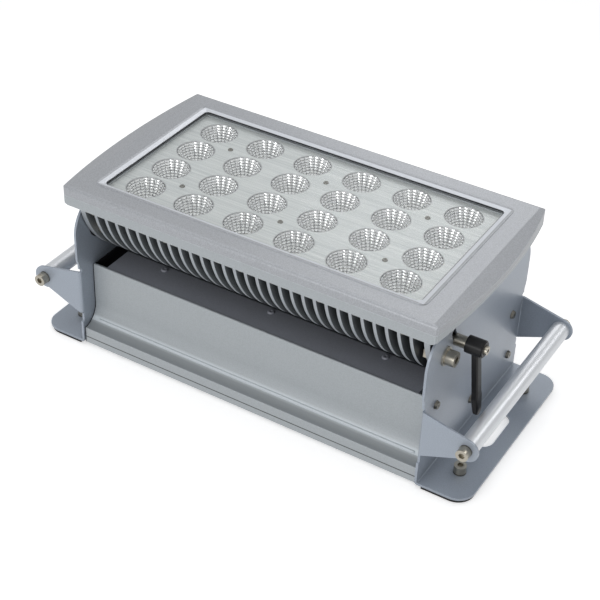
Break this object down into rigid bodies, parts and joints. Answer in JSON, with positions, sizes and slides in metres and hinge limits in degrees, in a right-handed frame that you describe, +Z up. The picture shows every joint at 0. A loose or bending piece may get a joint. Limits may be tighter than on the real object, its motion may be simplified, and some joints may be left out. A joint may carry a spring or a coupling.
{
  "type": "stage flood light",
  "caption": "Long stage flood light with a tilting finned LED head, faceted reflectors under glass, a coved base, bent side plates, clamping levers and carrying tubes.",
  "frame": {"origin": "bottom centre of the whole light, on the floor under its rubber feet", "axes": "+X along the length to the right end, +Y to the rear, +Z up; the levers' side faces -Y"},
  "size_m": [0.538, 0.25, 0.2087],
  "materials": {
    "housing_paint": "light grey satin paint",
    "bezel_paint": "warm grey satin paint",
    "plate_paint": "blue-grey semi-gloss paint",
    "lid_paint": "dark grey satin paint",
    "dark_steel": "dark plated steel",
    "nickel_steel": "nickel plated steel",
    "tube_aluminium": "polished aluminium",
    "plate_aluminium": "bright brushed aluminium",
    "inner_metal": "plain sheet metal",
    "bush_brass": "bronze bearing",
    "mirror_chrome": "mirror coated facets",
    "clear_glass": "clear toughened glass",
    "black_plastic": "black moulded plastic",
    "lever_black": "black coated lever",
    "inlet_blue": "blue moulded plastic",
    "board_green": "green circuit board",
    "board_white": "white coated board",
    "led_yellow": "yellow phosphor",
    "seal_rubber": "black seal",
    "foot_rubber": "black rubber"
  },
  "bodies": {
    "base": {"base_housing": "housing_paint", "bottom_cover": "housing_paint", "top_cover": "lid_paint", "cover_screws": "dark_steel", "end_cap_left": "black_plastic", "end_cap_right": "black_plastic", "end_gasket_left": "seal_rubber", "end_gasket_right": "seal_rubber", "side_plate_left": "plate_paint", "side_plate_right": "plate_paint", "side_plate_screws": "dark_steel", "handle_tube_left": "tube_aluminium", "handle_tube_right": "tube_aluminium", "handle_screws": "nickel_steel", "frame_washers": "dark_steel", "foot_front_left": "foot_rubber", "foot_front_right": "foot_rubber", "foot_rear_left": "foot_rubber", "foot_rear_right": "foot_rubber", "foot_screws": "nickel_steel", "guide_bolts": "nickel_steel", "guide_washers": "nickel_steel", "guide_discs": "black_plastic", "guide_nuts": "nickel_steel", "pivot_bushes": "bush_brass", "power_supply_left": "inner_metal", "power_supply_right": "inner_metal", "control_board": "board_green", "board_standoffs": "inner_metal", "power_inlet": "inlet_blue", "data_input": "black_plastic", "data_output": "black_plastic", "display_panel": "black_plastic", "panel_screws": "nickel_steel", "vent_plug": "black_plastic", "base_cable_gland": "black_plastic"},
    "head": {"heatsink_housing": "housing_paint", "head_flange": "housing_paint", "bezel_frame": "bezel_paint", "lens_gasket": "seal_rubber", "cover_glass": "clear_glass", "led_plate": "plate_aluminium", "led_plate_screws": "dark_steel", "reflectors_row_1": "mirror_chrome", "reflectors_row_2": "mirror_chrome", "reflectors_row_3": "mirror_chrome", "reflectors_row_4": "mirror_chrome", "led_board": "board_white", "leds": "led_yellow", "bezel_screws": "dark_steel", "pivot_pins": "nickel_steel", "clamp_studs": "nickel_steel", "head_cable_gland": "black_plastic"},
    "lever_left": {"lever_insert_left": "nickel_steel", "lever_screw_left": "nickel_steel"},
    "lever_right": {"lever_insert_right": "nickel_steel", "lever_screw_right": "nickel_steel"},
    "arm_left": {"lever_handle_left": "lever_black"},
    "arm_right": {"lever_handle_right": "lever_black"}
  },
  "joints": [
    {"name": "head_tilt", "type": "hinge", "parent": "base", "child": "head", "pos_m": [0, 0, 0.19001], "axis": [1, 0, 0], "range_deg": [-11, 11]},
    {"name": "lever_left_turn", "type": "hinge", "parent": "head", "child": "lever_left", "pos_m": [-0.20885, -0.05803, 0.15087], "axis": [1, 0, 0], "range_deg": [-15, 120]},
    {"name": "lever_right_turn", "type": "hinge", "parent": "head", "child": "lever_right", "pos_m": [0.20885, -0.05803, 0.15087], "axis": [1, 0, 0], "range_deg": [-15, 120]},
    {"name": "arm_left_pull", "type": "slide", "parent": "lever_left", "child": "arm_left", "axis": [-1, 0, 0], "range_m": [0, 0.003], "stiffness_N_per_m": 2500, "springref_m": -0.001},
    {"name": "arm_right_pull", "type": "slide", "parent": "lever_right", "child": "arm_right", "axis": [1, 0, 0], "range_m": [0, 0.003], "stiffness_N_per_m": 2500, "springref_m": -0.001}
  ]
}
